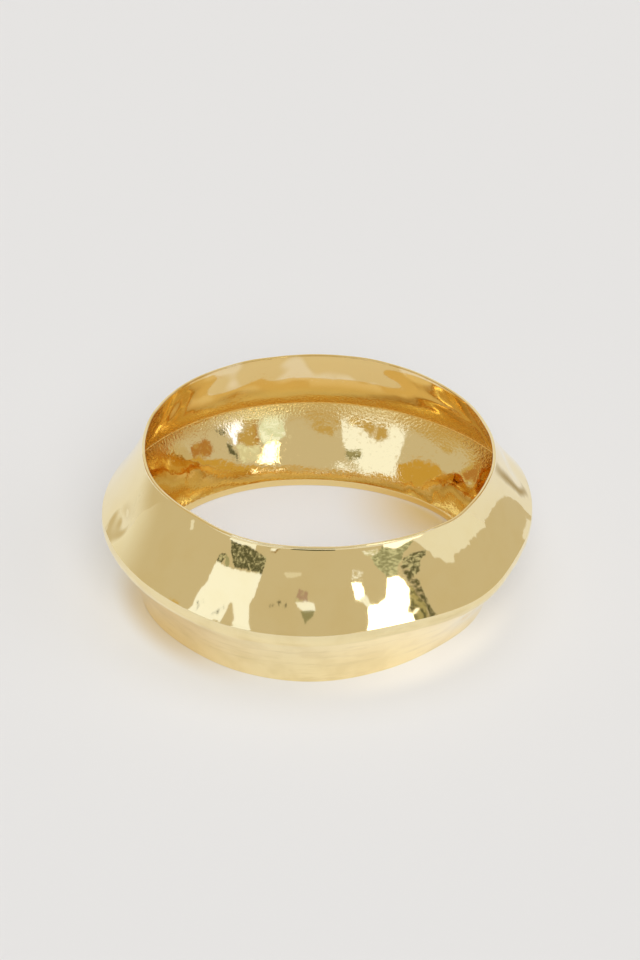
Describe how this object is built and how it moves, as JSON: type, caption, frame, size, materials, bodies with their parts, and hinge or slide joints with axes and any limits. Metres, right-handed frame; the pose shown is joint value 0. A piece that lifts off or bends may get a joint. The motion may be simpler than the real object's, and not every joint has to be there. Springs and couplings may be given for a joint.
{
  "type": "bangle",
  "caption": "Wide rigid bangle of hammered gold-plated brass, with a blunt ridge round its outside and two plain rims.",
  "frame": {"origin": "middle of the foot rim, on the surface that the bangle lies on", "axes": "+Z is the axis of the round opening, up from the foot rim to the top rim; -Y faces the viewer and +X is to the viewer's right"},
  "size_m": [0.0817, 0.0825, 0.03],
  "materials": {
    "gold_plate": "polished pale gold plate over hammered sheet"
  },
  "bodies": {
    "root": {"bangle_band": "gold_plate"}
  },
  "joints": []
}
